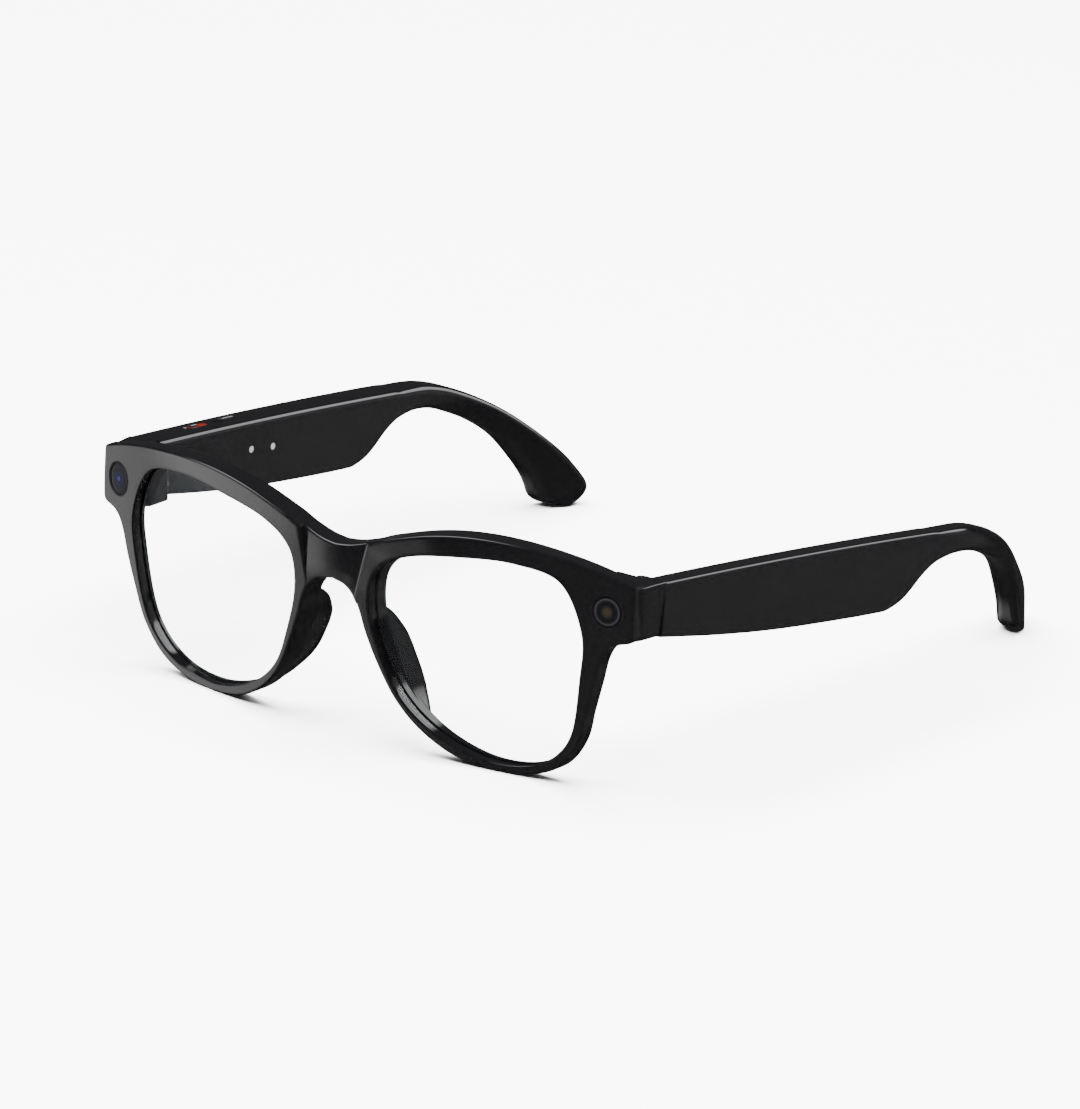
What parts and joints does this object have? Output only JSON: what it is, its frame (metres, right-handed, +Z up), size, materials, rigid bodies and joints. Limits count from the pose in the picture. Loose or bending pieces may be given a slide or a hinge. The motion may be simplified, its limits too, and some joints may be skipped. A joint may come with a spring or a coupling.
{
  "type": "smart glasses",
  "caption": "Full-frame camera glasses with clear lenses, folding temples, nose pads, a slide switch and a push button.",
  "frame": {"origin": "middle of the footprint, on the surface the glasses stand on", "axes": "+Z up, -Y out of the front of the glasses, +X towards the wearer's left; temples open, running towards +Y"},
  "size_m": [0.157, 0.1532, 0.0509],
  "materials": {
    "gloss_black": "polished black, clear-coated look",
    "lens_glass": "clear, anti-reflection coated",
    "pad_rubber": "soft matte with fine ribs",
    "bezel_black": "satin black ring",
    "camera_glass": "dark coated cover glass with a blue-violet tint",
    "light_glass": "smoked translucent cover glass",
    "satin_steel": "satin stainless steel",
    "mesh_steel": "dark woven mesh",
    "contact_metal": "bright plated contact pins",
    "copper_flex": "copper-coloured flexible circuit",
    "green_board": "green circuit board",
    "cell_foil": "silver pouch foil",
    "dark_module": "dark moulded housings",
    "mic_can": "plated microphone can",
    "light_pipe": "white translucent light pipe",
    "red_inlay": "red marker surface",
    "switch_black": "satin black keys"
  },
  "bodies": {
    "front": {"front_frame": "gloss_black", "brow_cover": "gloss_black", "brow_cable": "copper_flex", "lens_left": "lens_glass", "lens_right": "lens_glass", "nose_pad_left": "pad_rubber", "nose_pad_right": "pad_rubber", "camera_bezel": "bezel_black", "camera_window": "camera_glass", "camera_module": "dark_module", "light_bezel": "bezel_black", "light_window": "light_glass", "light_board": "green_board", "endpiece_cover_left": "gloss_black", "endpiece_cover_right": "gloss_black", "hinge_front_left": "satin_steel", "hinge_front_right": "satin_steel", "hinge_screw_left": "satin_steel", "hinge_screw_right": "satin_steel", "hinge_leaf_screws": "satin_steel"},
    "temple_left": {"temple_left_shell": "gloss_black", "temple_left_cover": "gloss_black", "hinge_temple_left": "satin_steel", "battery": "cell_foil", "touch_board": "green_board", "speaker_left": "dark_module", "speaker_mesh_left": "mesh_steel"},
    "temple_right": {"temple_right_shell": "gloss_black", "temple_right_cover": "gloss_black", "hinge_temple_right": "satin_steel", "main_board": "green_board", "touch_pad": "copper_flex", "speaker_right": "dark_module", "speaker_mesh_right": "mesh_steel", "charge_contacts": "contact_metal", "status_light": "light_pipe", "microphone": "mic_can", "tact_switch": "dark_module", "slide_switch": "dark_module", "switch_inlay": "red_inlay"},
    "power_switch": {"power_switch": "switch_black"},
    "capture_button": {"capture_button": "switch_black"}
  },
  "joints": [
    {"name": "temple_left_hinge", "type": "hinge", "parent": "front", "child": "temple_left", "pos_m": [0.0663, -0.05515, 0.0397], "axis": [0, 0, 1], "range_deg": [0, 90]},
    {"name": "temple_right_hinge", "type": "hinge", "parent": "front", "child": "temple_right", "pos_m": [-0.0663, -0.05515, 0.0397], "axis": [0, 0, -1], "range_deg": [0, 72]},
    {"name": "power_switch_slide", "type": "slide", "parent": "temple_right", "child": "power_switch", "axis": [-0.0458, 0.9935, -0.1038], "range_m": [0, 0.002]},
    {"name": "capture_button_press", "type": "slide", "parent": "temple_right", "child": "capture_button", "axis": [0.005, -0.109, -0.994], "range_m": [0, 0.0004], "stiffness_N_per_m": 800}
  ]
}
